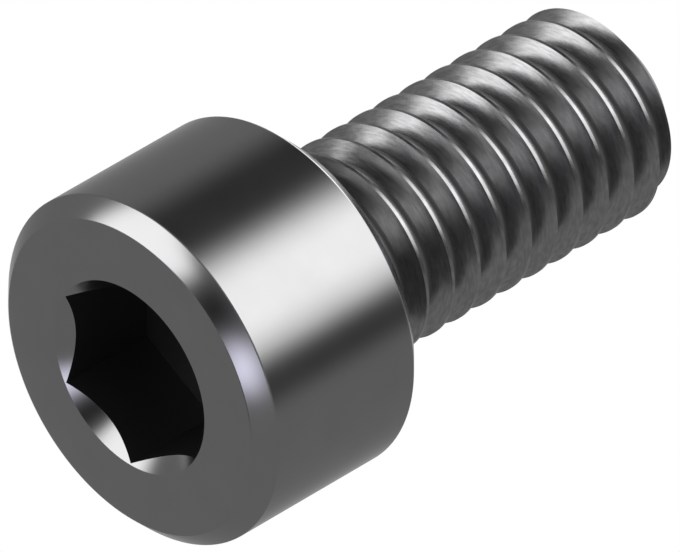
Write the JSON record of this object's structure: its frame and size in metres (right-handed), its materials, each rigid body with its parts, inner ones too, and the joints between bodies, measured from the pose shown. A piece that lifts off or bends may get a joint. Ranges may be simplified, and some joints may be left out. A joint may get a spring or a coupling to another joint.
{
  "type": "socket head cap screw",
  "caption": "Metric cap screw with a plain cylindrical head, a hex socket in its face and a right-hand thread along the whole shank.",
  "frame": {"origin": "centre of the head's flat face, in its plane, where the screw stands on its head", "axes": "+Z along the screw from the head's face to the tip; +X towards a corner of the hex socket"},
  "size_m": [0.0084, 0.0084, 0.015],
  "materials": {
    "steel": "dark grey, lightly oiled hardened steel, satin, with fine drawn marks on the thread's flanks"
  },
  "bodies": {
    "root": {"cap_screw": "steel"}
  },
  "joints": []
}
